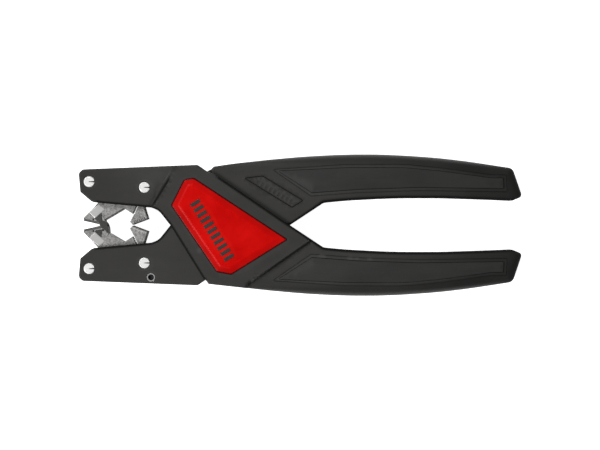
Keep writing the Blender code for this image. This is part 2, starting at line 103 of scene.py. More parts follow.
# Engraved lines: their width and how deep they are cut.
LINE_WIDTH, GRIP_LINE_DEEP, LABEL_LINE_DEEP, DASH_DEEP = 0.4, 0.2, 0.3, 0.22

# Outlines. A third number is the radius of that corner.
ARM_TOP = [(-90.0, 20.4, 1.0), (-89.75, 21.5, 0.8), (-88.4, 22.7, 1.2), (-41.7, 24.5, 1.5),
           (-38.1, 22.0)]
ARM_FRONT = [(-83.7, 9.24, 1.2), (-84.9, 9.7, 1.0), (-89.4, 13.5, 0.8)]
MOUTH = [(-52.7, 0.0, 0.2), (-57.4, 5.9, 6.5), (-60.4, 7.15, 6.0), (-62.4, 7.3, 6.0)]
HANDLE_OUTER = [(-36.2, 22.7, 0.3), (-35.2, 23.8, 0.8), (-27.7, 24.95, 200), (-13.1, 26.6, 300),
                (1.5, 27.95, 300), (16.1, 28.7, 300), (29.5, 28.9, 300), (42.5, 28.35, 300),
                (56.1, 27.4, 300), (70.2, 25.7, 300), (86.3, 23.1, 2.8), (90.2, 11.6, 1.5),
                (86.2, 9.95, 1.2)]
HANDLE_INNER = [(77.0, 10.35, 300), (57.6, 11.0, 300), (38.1, 11.0, 300), (18.6, 10.0, 200),
                (9.6, 9.15, 3.0), (-4.25, 0.0, 0.2)]
PLATE = [(-60.3, 7.0, 0.1), (-52.9, 20.1, 0.2), (-51.2, 24.1, 0.2), (-41.7, 24.45, 0.8),
         (-38.1, 21.95, 0.5), (-34.9, 20.8, 1.5), (-5.05, 0.5, 0.6), (3.9, -6.35, 0.5),
         (-21.0, -23.6, 0.5), (-22.3, -25.8, 0.2), (-27.7, -25.4), (-37.4, -24.4),
         (-39.0, -22.2, 0.3), (-52.7, 0.0, 0.2), (-57.4, 5.9, 3.0)]
BADGE = [(-52.3, 8.0, 0.9), (-47.0, 18.5, 1.8), (-43.1, 19.1, 1.8), (-5.2, -5.85, 0.4),
         (-27.9, -20.0, 1.5), (-33.9, -18.9, 1.6)]
# Steps beside the centre plate, each as a line.
ARM_STEP = ((-60.3, 7.0), (-52.9, 20.1))
UPPER_STEP = ((-34.9, 20.8), (-5.05, 0.5))
LOWER_STEP = ((-21.0, -23.6), (3.9, -6.35))
STEP_GROOVE = [(-60.0, 7.7), (-51.9, 20.9)]
# Painted shade at the ends of two step lines, as (strength, line).
STEP_END_SHADES = [(0.45, [(-53.4, 18.6), (-50.8, 23.6)]), (0.9, [(-20.6, -23.2), (-22.1, -25.4)])]
GRIP = [(-9.0, 22.0, 0.3), (18.2, 23.3, 60), (41.7, 23.4, 90), (56.7, 22.0, 90),
        (77.4, 19.2, 6), (82.5, 19.1, 0.5), (82.7, 14.8, 0.5), (48.6, 15.3, 120),
        (23.9, 14.5, 90), (4.8, 13.1, 0.8)]
LABEL = [(-22.55, 19.1, 0.2), (-15.2, 19.95, 0.3), (1.2, 10.0, 0.3), (-3.3, 7.25, 0.3)]
SWEEP_LEFT = [(-58.5, 3.8), (-41.0, 3.2), (-35.0, 0.0), (-32.7, -12.6), (-37.6, -23.0),
              (-44.0, -32.0), (-75.0, -32.0), (-75.0, 3.8)]
SWEEP_RIGHT = [(-38.3, 22.2), (-33.8, 12.1), (-30.0, 0.0), (-15.9, -3.2), (-4.0, -3.8),
               (3.0, -0.4), (22.0, 8.0), (22.0, 34.0), (-36.5, 34.0)]
B_LEFT = [(-41.3, 0.3), (-33.3, 12.2), (-37.9, 21.9, 0.6)]
B_RIGHT = [(-15.5, -0.3), (-33.3, -12.2), (-38.1, -22.0, 0.8)]
NOTCH = [(-37.2, -23.9, 0.6), (-38.3, -22.4, 0.25), (-39.0, -22.2, 0.3)]
# The jaws, upper side.
INSERT = [(-81.8, 8.1), (-80.1, 6.5), (-83.5, 3.4), (-85.5, 5.3)]
PROFILE_UPPER = [(-81.75, 0.3), (-79.2, 0.3), (-79.3, 1.4), (-79.6, 2.2), (-80.2, 3.75),
                 (-82.75, 3.05)]
PROFILE_LOWER = [(-81.0, 0.3), (-78.6, 0.3), (-78.0, 1.2), (-77.8, 3.2), (-78.9, 4.9),
                 (-82.2, 3.75), (-81.2, 2.3)]
# Painted shadow: a dark piece where the jaw's gap is in shade.
GAP_SHADOW = [(-81.0, 5.1), (-83.8, 2.6), (-83.0, 1.9), (-80.4, 1.7), (-80.7, 3.9)]
# Painted shade: a dark strip along the front jaw's lower edge.
JAW_EDGE_SHADE = [(-88.1, 1.66), (-87.9, 2.6), (-83.2, 1.75), (-80.4, 1.1), (-80.5, 0.36),
          (-81.3, 0.24)]
LEAF = [(-83.3, 2.2), (-81.0, 2.0), (-79.5, 1.65), (-78.6, 0.5), (-78.1, -0.9), (-77.95, -3.0),
        (-78.8, -3.1), (-79.3, -2.2), (-80.3, -1.5), (-81.5, -0.7), (-81.6, 0.5)]
DOT, DOT_R = (-84.2, 2.4), 0.42
PIP, PIP_R = (-80.2, -1.95), 0.5
BLADE = [(-68.15, 0.12), (-61.95, 2.5), (-63.5, 7.2), (-64.4, 6.85), (-63.45, 3.68),
         (-68.75, 2.1), (-69.3, 1.45)]
# Painted shade: a dark strip on the shaded bevel of the jaw's V edge.
V_BEVEL_SHADE = [(-79.6, 1.95), (-71.5, 6.75), (-71.8, 7.05), (-79.8, 2.35)]
BLADE_EDGE = [(-68.2, 0.1), (-61.9, 2.5), (-63.67, 8.1), (-64.1, 8.1), (-62.35, 2.75),
              (-68.3, 0.5)]
TEETH_FROM, TEETH_TO, TEETH = (-67.9, 1.25), (-62.95, 3.0), 8
# Painted shadow: a dark strip in the gap between the cheek and the rear jaw.
CHEEK_GAP_SHADOW = [(-68.0, 4.6), (-66.35, 8.1), (-66.75, 8.2), (-68.35, 4.85)]
# Painted highlight: a bright strip on the rear jaw's front edge bevel.
EDGE_HIGHLIGHT_STRIP = [(-67.3, 4.45), (-65.7, 8.1), (-66.1, 8.15), (-67.75, 4.55)]
BEVEL = 1.8  # width of the badge's bevel
# Rows of plain sunken bars: the first place, the last one and how many.
MARKS_FROM, MARKS_TO, MARKS = (-42.5, 8.9), (-28.9, -13.1), 11
DASHES_FROM, DASHES_TO, DASHES = (-17.0, 17.2), (-3.6, 9.6), 9
# The channel inside an arm, for the jaws.
CHANNEL = [(-93.0, 6.0), (-93.0, 13.7), (-88.8, 13.7), (-88.8, 19.6), (-87.6, 20.9),
           (-62.4, 19.3), (-59.2, 16.6), (-59.2, 3.0)]


# ---------- outlines


def flip(outline):
    """The same outline on the other side of the tool's long axis."""
    return [(point[0], -point[1], *point[2:]) for point in outline]


def rounded(corners, radius=0.15, step=0.8):
    """A closed outline with its corners rounded, its points at most step apart."""
    corners = [point if len(point) > 2 else (*point, radius) for point in corners]
    count = len(corners)
    path = []
    for i, (x, y, r) in enumerate(corners):
        here = np.array((x, y))
        before = np.array(corners[i - 1][:2]) - here
        after = np.array(corners[(i + 1) % count][:2]) - here
        len_before, len_after = np.hypot(*before), np.hypot(*after)
        before, after = before / len_before, after / len_after
        turn = math.pi - math.acos(np.clip(before @ after, -1, 1))
        if turn < 1e-3:
            path.append(here)
            continue
        reach = min(r * math.tan(turn / 2), 0.49 * min(len_before, len_after))
        r = reach / math.tan(turn / 2)
        middle = here + (before + after) / np.hypot(*(before + after)) * math.hypot(r, reach)
        start, end = here + before * reach - middle, here + after * reach - middle
        pieces = max(2, math.ceil(turn / 0.2), math.ceil(turn * r / step))
        for k in range(pieces + 1):
            share = k / pieces
            blend = (start * math.sin((1 - share) * turn) + end * math.sin(share * turn))
            path.append(middle + blend / math.sin(turn))
    filled = []
    for i, point in enumerate(path):
        following = path[(i + 1) % len(path)]
        gap = np.hypot(*(following - point))
        if gap < 1e-4:
            continue
        parts = max(1, math.ceil(gap / step))
        filled += [point + (following - point) * k / parts for k in range(parts)]
    return np.array(filled)


def winding(loop):
    """1 for a loop that runs anticlockwise, -1 for one that runs clockwise."""
    following = np.roll(loop, -1, 0)
    area = (loop[:, 0] * following[:, 1] - following[:, 0] * loop[:, 1]).sum()
    return 1 if area > 0 else -1


def grown(outline, by):
    """The corners moved outwards by a distance, mitred."""
    corners = np.array([point[:2] for point in outline])
    before, after = corners - np.roll(corners, 1, 0), np.roll(corners, -1, 0) - corners
    turn = winding(corners)
    first = np.stack((before[:, 1], -before[:, 0]), 1) / np.hypot(*before.T)[:, None] * turn
    second = np.stack((after[:, 1], -after[:, 0]), 1) / np.hypot(*after.T)[:, None] * turn
    scale = by / np.maximum(0.35, 1 + (first * second).sum(1))
    moved = corners + (first + second) * scale[:, None]
    return [(*place, *point[2:]) for place, point in zip(moved, outline)]


def row(start, end, count):
    """Evenly spaced places from start to end."""
    start, end = np.array(start), np.array(end)
    return [start + (end - start) * i / (count - 1) for i in range(count)]


def quad(centre, along, half_length, half_width):
    """A rectangle turned so that its length runs along a direction."""
    along = np.array(along) / np.hypot(*along)
    across = np.array((-along[1], along[0]))
    return [tuple(centre + along * a * half_length + across * b * half_width)
            for a, b in ((1, 1), (-1, 1), (-1, -1), (1, -1))]


def strip(start, end, half_length, half_width):
    """A rectangle along a line and centred on it."""
    start, end = np.array(start), np.array(end)
    return quad((start + end) / 2, end - start, half_length, half_width)


def circle(centre, radius, count=40):
    angles = np.arange(count) * 2 * math.pi / count
    return np.stack((centre[0] + radius * np.cos(angles),
                     centre[1] + radius * np.sin(angles)), 1)


def moved_in(loop, by):
    """The loop moved inwards by a distance, point by point."""
    along = np.roll(loop, -1, 0) - np.roll(loop, 1, 0)
    along /= np.maximum(np.hypot(*along.T), 1e-9)[:, None]
    return loop + np.stack((-along[:, 1], along[:, 0]), 1) * by * winding(loop)


def distance(points, line, closed=True):
    """How far each point is from a polyline."""
    starts = line if closed else line[:-1]
    ends = np.roll(line, -1, 0) if closed else line[1:]
    runs = ends - starts
    lengths = np.maximum((runs**2).sum(1), 1e-12)
    found = np.empty(len(points))
    for first in range(0, len(points), 2000):
        part = points[first:first + 2000]
        offset = part[:, None] - starts[None]
        share = np.clip((offset * runs).sum(2) / lengths, 0, 1)
        gap = offset - share[..., None] * runs
        found[first:first + 2000] = np.sqrt((gap**2).sum(2).min(1))
    return found


def inside(points, loop):
    """Which points lie inside a closed loop."""
    following = np.roll(loop, -1, 0)
    x, y = points[:, 0:1], points[:, 1:2]
    crosses = (loop[:, 1] > y) != (following[:, 1] > y)
    rise = following[:, 1] - loop[:, 1]
    rise = np.where(np.abs(rise) < 1e-12, 1e-12, rise)
    at = loop[:, 0] + (y - loop[:, 1]) * (following[:, 0] - loop[:, 0]) / rise
    return ((crosses & (x < at)).sum(1) % 2).astype(bool)


def depth_in(points, loop):
    """Distance from a loop, positive inside it."""
    return distance(points, loop) * np.where(inside(points, loop), 1, -1)


def smooth(value, low, high):
    share = np.clip((value - low) / (high - low), 0, 1)
    return share * share * (3 - 2 * share)


def roundover(depth, width, height):
    """How much a rounded edge takes off at a distance inside it."""
    share = 1 - np.clip(depth / width, 0, 1)
    return height * (1 - np.sqrt(np.clip(1 - share * share, 0, 1)))


def beyond(points, start, end):
    """Signed distance to the left of the line from start to end."""
    run = np.array(end) - np.array(start)
    run = run / np.hypot(*run)
    offset = points - np.array(start)
    return run[0] * offset[:, 1] - run[1] * offset[:, 0]


# ---------- slabs


def added(name, data):
    """A new object in the scene."""
    obj = bpy.data.objects.new(name, data)
    bpy.context.scene.collection.objects.link(obj)
    return obj


def finished(obj, material, body, nodes=(), sharp=38.0):
    """Shading, material, body and CAD nodes of a piece; edges over sharp degrees stay hard."""
    obj.data.materials.clear()
    obj.data.materials.append(material)
    obj.data.set_sharp_from_angle(angle=math.radians(sharp))
    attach(obj, body)
    if nodes:
        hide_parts(*nodes)
    return obj


def slab(name, side, rings, inner_points, top_of, bottom_of, painted_shade_of=None, solid_of=None):
    """A layered plate: triangles between the rings, raised to a top and a bottom.

    rings are closed loops that keep their edges. top_of and bottom_of take (points,
    triangles, triangle centres) and give h at the corners of each triangle; bottom_of may be
    one height. painted_shade_of gives the painted shade at each point: how much darker and
    duller the surface is made.
    solid_of gives which centres have material; without it, those inside the first ring.
    """
    coords, edges = [], []
    for loop in rings:
        first = len(coords)
        coords += [tuple(point) for point in loop]
        edges += [(first + i, first + (i + 1) % len(loop)) for i in range(len(loop))]
    coords += [tuple(point) for point in inner_points]
    found = delaunay_2d_cdt([Vector(point) for point in coords], edges, [], 0, 1e-3)
    points = np.array([tuple(point) for point in found[0]])
    triangles = np.array([face for face in found[2] if len(face) == 3])
    corners = points[triangles].transpose(1, 0, 2)
    (ax, ay), (bx, by) = (corners[1] - corners[0]).T, (corners[2] - corners[0]).T
    triangles = triangles[np.abs(ax * by - bx * ay) > 1e-7]
    centres = points[triangles].mean(1)
    top = top_of(points, triangles, centres)
    if callable(bottom_of):
        bottom = bottom_of(points, triangles, centres)
    else:
        bottom = np.full(triangles.shape, bottom_of)
    keep = inside(centres, rings[0]) if solid_of is None else solid_of(centres)
    # Painted shade at each point, kept in the tone attribute.
    tone = np.zeros(len(points)) if painted_shade_of is None else painted_shade_of(points)
    return raised(name, side, points, triangles[keep], top[keep], bottom[keep], tone)


def raised(name, side, points, triangles, top, bottom, tone):
    """The mesh of a layered plate, with a wall wherever two heights differ."""
    verts, index, faces, painted_shades = [], {}, [], []

    def vertex(point, height):
        key = (int(point), round(float(height), 3))
        if key not in index:
            index[key] = len(verts)
            x, y = np.clip(points[point], -HALF_BOX, HALF_BOX)
            verts.append((x * MM, y * MM, (MID + side * height) * MM))
            painted_shades.append(tone[point])
        return index[key]

    def wall(a, b, low, high):
        ring = [vertex(a, low[0]), vertex(b, low[1]), vertex(b, high[1]), vertex(a, high[0])]
        ring = [v for i, v in enumerate(ring) if v not in ring[:i]]
        if len(ring) > 2:
            faces.append(ring)

    owners = {}
    for t, triangle in enumerate(triangles):
        for k in range(3):
            owners.setdefault((triangle[k], triangle[(k + 1) % 3]), (t, k))
    for t, triangle in enumerate(triangles):
        faces.append([vertex(triangle[k], top[t, k]) for k in range(3)])
        faces.append([vertex(triangle[k], bottom[t, k]) for k in (2, 1, 0)])
        for k in range(3):
            after = (k + 1) % 3
            a, b = triangle[k], triangle[after]
            low, high = (bottom[t, k], bottom[t, after]), (top[t, k], top[t, after])
            if (b, a) not in owners:
                wall(a, b, low, high)
                continue
            o, m = owners[b, a]
            next_low = (bottom[o, (m + 1) % 3], bottom[o, m])
            next_high = (top[o, (m + 1) % 3], top[o, m])
            if sum(high) > sum(next_high) + 2e-3:
                wall(a, b, next_high, high)
            if sum(low) < sum(next_low) - 2e-3:
                wall(a, b, low, next_low)
    if side < 0:
        faces = [face[::-1] for face in faces]
    mesh = bpy.data.meshes.new(name)
    mesh.from_pydata(verts, [], faces)
    # The tone attribute holds the painted shade that the materials darken by.
    mesh.attributes.new("tone", "FLOAT", "POINT").data.foreach_set("value", painted_shades)
    mesh.validate()
    return added(name, mesh)


def chip(name, side, outline, low, high, material, body, edge=0.1, nodes=()):
    """A small flat piece with a rounded outer edge, on one side of the tool."""
    loop = outline if isinstance(outline, np.ndarray) else rounded(outline, 0.12, 0.5)
    inner = edge_points(loop, (edge * 0.3, edge, edge * 2.2))

    def top_of(points, triangles, centres):
        return (high - roundover(distance(points, loop), edge, edge))[triangles]

    obj = slab(name, side, [loop], inner, top_of, low)
    return finished(obj, material, body, nodes)


def block(name, outline, half, material, body, nodes, edge=0.15):
    """A prism right through the tool's width, rounded at both faces."""
    loop = rounded(outline, 0.2, 0.5)
    inner = edge_points(loop, (edge * 0.3, edge, edge * 2.5))

    def top_of(points, triangles, centres):
        return (half - roundover(distance(points, loop), edge, edge))[triangles]

    def bottom_of(points, triangles, centres):
        return -top_of(points, triangles, centres)

    obj = slab(name, 1, [loop], inner, top_of, bottom_of)
    return finished(obj, material, body, nodes)


def eased(node, material, body, width):
    """A metal piece of the frame with its edges eased."""
    mesh = frame["nodes"][node].data.copy()
    shape = bmesh.new()
    shape.from_mesh(mesh)
    bmesh.ops.remove_doubles(shape, verts=shape.verts, dist=1e-6)
    bmesh.ops.dissolve_limit(shape, angle_limit=math.radians(1.0), verts=shape.verts,
                             edges=shape.edges)
    sharp = [edge for edge in shape.edges
             if edge.is_convex and edge.calc_face_angle() > math.radians(28)]
    bmesh.ops.bevel(shape, geom=sharp, offset=width * MM, offset_type="OFFSET", segments=2,
                    profile=0.6, affect="EDGES", clamp_overlap=True)
    bmesh.ops.triangulate(shape, faces=[face for face in shape.faces if len(face.verts) > 4])
    shape.to_mesh(mesh)
    shape.free()
    return finished(added(node + "_eased", mesh), material, body, [node], 15.0)


def edge_points(loop, widths):
    """Points at several depths inside a loop, for its rounded edge."""
    found = []
    for width in widths:
        ring = moved_in(loop, width)
        found.append(ring[depth_in(ring, loop) > 0.97 * width])
    return np.concatenate(found)


def grid_points(loops, step, clear):
    """A grid inside the first loop, clear of every loop."""
    low, high = loops[0].min(0), loops[0].max(0)
    x, y = np.meshgrid(np.arange(low[0], high[0], step), np.arange(low[1], high[1], step))
    x[1::2] += step / 2
    points = np.stack((x.ravel(), y.ravel()), 1)
    points = points[inside(points, loops[0])]
    for loop in loops:
        points = points[distance(points, loop) > clear]
    return points


def groove_rings(loop, width):
    return [moved_in(loop, width / 2), loop, moved_in(loop, -width / 2)]


def groove(points, loop, width, depth):
    """How much a V groove along a loop takes off."""
    return depth * np.clip(1 - distance(points, loop) / (width / 2), 0, 1)


# ---------- materials


class Nodes:
    """A short way to build a node material on one Principled shader."""

    def __init__(self, name, roughness, metallic=0.0, specular=0.5):
        self.material = bpy.data.materials.new(name)
        self.material.use_nodes = True
        self.tree = self.material.node_tree
        self.shader = self.tree.nodes["Principled BSDF"]
        self.shader.inputs["Roughness"].default_value = roughness
        self.shader.inputs["Metallic"].default_value = metallic
        self.shader.inputs["Specular IOR Level"].default_value = specular
        self.where = self.node("ShaderNodeTexCoord").outputs["Object"]

    def node(self, kind, **settings):
        made = self.tree.nodes.new(kind)
        for key, value in settings.items():
            setattr(made, key, value)
        return made

    def link(self, source, target):
        """Feed a socket from another node's output, or with a plain value."""
        if isinstance(source, bpy.types.NodeSocket):
            self.tree.links.new(source, target)
        else:
            target.default_value = source

    def scaled(self, scale, stretch=(1, 1, 1)):
        """Coordinates in which one unit is a size given in millimetres."""
        mapping = self.node("ShaderNodeMapping")
        mapping.inputs["Scale"].default_value = [value / (scale * MM) for value in stretch]
        self.link(self.where, mapping.inputs["Vector"])
        return mapping.outputs["Vector"]

    def noise(self, scale, detail=3.0, rough=0.5, stretch=(1, 1, 1)):
        noise = self.node("ShaderNodeTexNoise")
        noise.inputs["Scale"].default_value = 1.0
        noise.inputs["Detail"].default_value = detail
        noise.inputs["Roughness"].default_value = rough
        self.link(self.scaled(scale, stretch), noise.inputs["Vector"])
        return noise.outputs["Fac"]

    def cells(self, scale):
        cells = self.node("ShaderNodeTexVoronoi")
        cells.inputs["Scale"].default_value = 1.0
        self.link(self.scaled(scale), cells.inputs["Vector"])
        return cells.outputs["Distance"]

    def range(self, source, low, high, to_low=0.0, to_high=1.0):
        node = self.node("ShaderNodeMapRange")
        for name, value in zip(("From Min", "From Max", "To Min", "To Max"),
                               (low, high, to_low, to_high)):
            node.inputs[name].default_value = value
        self.link(source, node.inputs["Value"])
        return node.outputs["Result"]

    def ramp(self, source, stops):
        node = self.node("ShaderNodeValToRGB")
        elements = node.color_ramp.elements
        while len(elements) < len(stops):
            elements.new(0.5)
        for element, (at, colour) in zip(elements, stops):
            element.position = at
            element.color = (*colour, 1.0)
        self.link(source, node.inputs["Fac"])
        return node.outputs["Color"]

    def mix(self, share, first, second):
        node = self.node("ShaderNodeMix", data_type="RGBA")
        self.link(share, node.inputs["Factor"])
        for socket, colour in zip((node.inputs[6], node.inputs[7]), (first, second)):
            self.link((*colour, 1.0) if isinstance(colour, tuple) else colour, socket)
        return node.outputs[2]

    def attribute(self, name):
        return self.node("ShaderNodeAttribute", attribute_name=name).outputs["Fac"]

    def maths(self, operation, first, second=0.0):
        node = self.node("ShaderNodeMath", operation=operation)
        self.link(first, node.inputs[0])
        self.link(second, node.inputs[1])
        return node.outputs[0]

    def edges(self, low=0.52, high=0.62):
        """Raised edges, where handling polishes the surface; the materials also lighten their
        colour there, partly as rubbing wear and partly as a painted highlight.
        """
        pointed = self.node("ShaderNodeNewGeometry").outputs["Pointiness"]
        return self.range(pointed, low, high)

    def bump(self, source, height, strength=1.0, after=None):
        """A bump of a height given in millimetres."""
        node = self.node("ShaderNodeBump")
        node.inputs["Distance"].default_value = height * MM
        node.inputs["Strength"].default_value = strength
        self.link(source, node.inputs["Height"])
        if after is not None:
            self.link(after, node.inputs["Normal"])
        return node.outputs["Normal"]

    def colour(self, source):
        self.link(source, self.shader.inputs["Base Color"])

    def rough(self, source):
        self.link(source, self.shader.inputs["Roughness"])

    def normal(self, source):
        self.link(source, self.shader.inputs["Normal"])


def moulded_plastic(name, dark, light, edge_wear_and_highlight_colour, roughness, grain):
    """Moulded plastic with a spark-eroded grain, flow marks, polished edges whose lighter colour
    is partly rubbing wear and partly a painted highlight, and painted shade where the tone
    attribute is set.
    """
    nodes = Nodes(name, roughness, specular=0.22)
    flow = nodes.noise(9.0, 4.0, 0.55, (0.5, 1.2, 1.0))
    fine = nodes.noise(grain, 4.0, 0.6)
    base = nodes.ramp(nodes.maths("MULTIPLY_ADD", fine, 0.35), [(0.15, dark), (0.75, light)])
    mottled = nodes.mix(0.5, base, nodes.ramp(flow, [(0.35, dark), (0.68, light)]))
    edge = nodes.edges()
    # Painted shade: the tone attribute darkens the colour towards near black and makes it
    # duller.
    tone = nodes.attribute("tone")
    # Lighter colour on raised edges: partly rubbing wear, partly a painted highlight.
    with_edge_wear_and_highlight = nodes.mix(nodes.maths("MULTIPLY", edge, 0.6), mottled, edge_wear_and_highlight_colour)
    nodes.colour(nodes.mix(tone, with_edge_wear_and_highlight, tuple(value * 0.22 for value in dark)))
    spread = nodes.range(fine, 0.3, 0.7, roughness + 0.07, roughness - 0.05)
    polished = nodes.maths("SUBTRACT", spread, nodes.maths("MULTIPLY", edge, 0.12))
    nodes.rough(nodes.maths("MAXIMUM", polished, tone))
    pits = nodes.bump(nodes.cells(grain * 1.6), 0.02, 0.35)
    nodes.normal(nodes.bump(fine, 0.03, 0.5, pits))
    return nodes.material


def glossy_red():
    """Moulded red with a faint orange peel, painted shade from the tone attribute round its edge
    and over its bevel, a lighter red on raised edges that is partly rubbing wear and partly a
    painted highlight, and fine scuffs.
    """
    nodes = Nodes("red_badge_gloss", 0.3, specular=0.1)
    cloud = nodes.noise(11.0, 3.0, 0.5)
    base = nodes.ramp(cloud, [(0.35, (0.46, 0.0012, 0.0008)), (0.66, (0.58, 0.0024, 0.0012))])
    scuff = nodes.range(nodes.noise(1.1, 5.0, 0.7, (1.0, 7.0, 1.0)), 0.62, 0.78, 0.0, 0.35)
    edge = nodes.edges(0.53, 0.66)
    # Lighter red on raised edges: partly rubbing wear, partly a painted highlight.
    with_edge_wear_and_highlight = nodes.mix(nodes.maths("MULTIPLY", edge, 0.3), base, (0.72, 0.03, 0.012))
    # Painted shade: darker red where the tone attribute is set.
    nodes.colour(nodes.mix(nodes.attribute("tone"), with_edge_wear_and_highlight, (0.09, 0.001, 0.001)))
    nodes.rough(nodes.maths("ADD", nodes.range(cloud, 0.3, 0.7, 0.26, 0.36),
                            nodes.maths("MULTIPLY", scuff, 0.25)))
    peel = nodes.bump(nodes.noise(2.4, 2.0, 0.5), 0.006, 0.4)
    nodes.normal(nodes.bump(scuff, 0.004, 0.5, peel))
    return nodes.material


def sintered(name, dark, light, metallic=0.9, roughness=0.5, grain=0.42):
    """Sintered or cast steel: a sandy grain of bright and dark specks."""
    nodes = Nodes(name, roughness, metallic)
    speck = nodes.noise(grain, 5.0, 0.75)
    broad = nodes.noise(3.4, 3.0, 0.5)
    middle = tuple((a + b) / 2 for a, b in zip(dark, light))
    base = nodes.ramp(speck, [(0.38, dark), (0.5, middle), (0.62, light)])
    stain = nodes.range(broad, 0.35, 0.7, 0.0, 0.35)
    nodes.colour(nodes.mix(stain, base, tuple(value * 0.7 for value in dark)))
    nodes.rough(nodes.range(speck, 0.3, 0.7, roughness + 0.1, roughness - 0.12))
    nodes.normal(nodes.bump(speck, 0.05, 0.55))
    return nodes.material


def ground(name, tone, roughness, along=(1.0, 14.0, 1.0), metallic=1.0):
    """Ground or drawn steel, with fine lines one way."""
    nodes = Nodes(name, roughness, metallic)
    lines = nodes.noise(1.6, 4.0, 0.65, along)
    low = tuple(value * 0.8 for value in tone)
    nodes.colour(nodes.ramp(lines, [(0.3, low), (0.7, tone)]))
    nodes.rough(nodes.range(lines, 0.3, 0.7, roughness + 0.08, roughness - 0.05))
    nodes.normal(nodes.bump(lines, 0.006, 0.4))
    return nodes.material


def turned_face(centre):
    """A turned pin end: concentric tool rings round the pin's own centre."""
    nodes = Nodes("turned_steel", 0.3, 0.1)
    mapping = nodes.node("ShaderNodeMapping")
    mapping.inputs["Location"].default_value = (-centre[0] * MM, -centre[1] * MM, 0.0)
    nodes.link(nodes.where, mapping.inputs["Vector"])
    split = nodes.node("ShaderNodeSeparateXYZ")
    nodes.link(mapping.outputs["Vector"], split.inputs["Vector"])
    x, y = split.outputs["X"], split.outputs["Y"]
    radius = nodes.maths("SQRT", nodes.maths("ADD", nodes.maths("MULTIPLY", x, x),
                                             nodes.maths("MULTIPLY", y, y)))
    wave = nodes.maths("SINE", nodes.maths("MULTIPLY", radius, 2 * math.pi / (0.24 * MM)))
    rings = nodes.range(wave, -1.0, 1.0)
    grime = nodes.range(nodes.noise(0.5, 4.0, 0.6), 0.35, 0.7)
    base = nodes.mix(rings, (0.66, 0.66, 0.65), (0.88, 0.88, 0.875))
    nodes.colour(nodes.mix(nodes.maths("MULTIPLY", grime, 0.35), base, (0.55, 0.55, 0.54)))
    nodes.rough(nodes.range(grime, 0.0, 1.0, 0.24, 0.38))
    nodes.normal(nodes.bump(rings, 0.012, 0.6))
    return nodes.material


BLACK = moulded_plastic("black_shell_moulded", (0.020, 0.0195, 0.0182),
                        (0.031, 0.0302, 0.0285), (0.06, 0.059, 0.057), 0.5, 0.34)
GRIP_BLACK = moulded_plastic("black_grip_moulded", (0.0175, 0.0172, 0.0165),
                             (0.027, 0.0265, 0.0255), (0.05, 0.049, 0.048), 0.56, 0.26)
RED = glossy_red()
JAW = sintered("jaw_sintered_steel", (0.12, 0.119, 0.117), (0.4, 0.395, 0.385), 0.3,
               grain=0.75)
INSERT_STEEL = ground("insert_ground_steel", (0.5, 0.495, 0.49), 0.36, metallic=0.3)
# Dark steel for the screws, the leaf and the blade edges; as the gap, edge and score strips on
# the jaws and pins it is painted shade.
DARK = sintered("dark_steel_grain_and_painted_shade", (0.03, 0.03, 0.029), (0.1, 0.099, 0.096), 0.8, 0.45,
                0.3)
WIRE = ground("spring_wire", (0.55, 0.55, 0.57), 0.3, (14.0, 1.0, 1.0))
STEEL = ground("bright_turned_steel", (0.8, 0.8, 0.79), 0.26)
BRONZE = ground("bearing_bronze_turned", (0.56, 0.36, 0.16), 0.4)
# Dark steel for the painted shade along the front jaw's lower edge.
EDGE_SHADE_STEEL = sintered("edge_shade_dark_steel", (0.05, 0.049, 0.048), (0.13, 0.128, 0.125), 0.5,
                        0.5, 0.25)
# Near-black steel for small black parts; in the stop pin's bore it is painted shade.
BLACK_STEEL_AND_SHADE = sintered("black_steel_and_painted_shade", (0.006, 0.006, 0.006), (0.02, 0.02, 0.0195), 0.2, 0.7,
                0.3)
# Bright steel for the teeth; as the strip on the rear jaw's front edge it is a painted
# highlight.
SHINE = ground("bright_steel_and_painted_highlight", (0.85, 0.85, 0.84), 0.3, metallic=0.4)
TUBE = ground("tube_drawn_steel", (0.36, 0.36, 0.355), 0.4, metallic=0.4)
MARK = moulded_plastic("badge_mark_moulded", (0.022, 0.019, 0.018), (0.036, 0.031, 0.03),
                       (0.06, 0.055, 0.05), 0.5, 0.3)


# ---------- the levers

LEVER_A = (ARM_TOP + PLATE[5:7] + [(-4.25, 0.0, 0.1)] + flip(HANDLE_INNER[::-1][1:])
           + flip(HANDLE_OUTER[:1:-1]) + NOTCH + MOUTH + ARM_FRONT)
LEVER_B = (flip(ARM_TOP[:-1]) + B_RIGHT[::-1] + HANDLE_INNER[::-1] + HANDLE_OUTER[::-1]
           + B_LEFT[::-1] + flip(MOUTH) + flip(ARM_FRONT))


def lever_level(points, lever):
    """Height of the arms and handles, before their edges are rounded off."""
    if lever == "b":
        handle = smooth(beyond(points, *UPPER_STEP), 4.6, 30.0) * (points[:, 0] > -36)
        return H_LEVER + (H_HANDLE - H_LEVER) * handle
    handle = smooth(-beyond(points, *LOWER_STEP), 0.6, 22.0) * (points[:, 0] > -25)
    step_end = smooth(points[:, 1], 12.0, 24.0)
    near = smooth(-beyond(points, *ARM_STEP), -22.0, 0.0)
    arm = (H_PLATE - H_LEVER) * step_end * near * (points[:, 0] < -40)
    return H_LEVER + (H_HANDLE - H_LEVER) * handle + arm


def groove_fade(points, fade_from):
    """How strongly the arm's step line shows along its length, and the distance from it."""
    start, end = np.array(STEP_GROOVE)
    share = (points - start) @ (end - start) / ((end - start)**2).sum()
    fade = smooth(share, -0.02, 0.1) * (1 - smooth(share, fade_from, 1.02))
    return fade, np.abs(beyond(points, start, end))


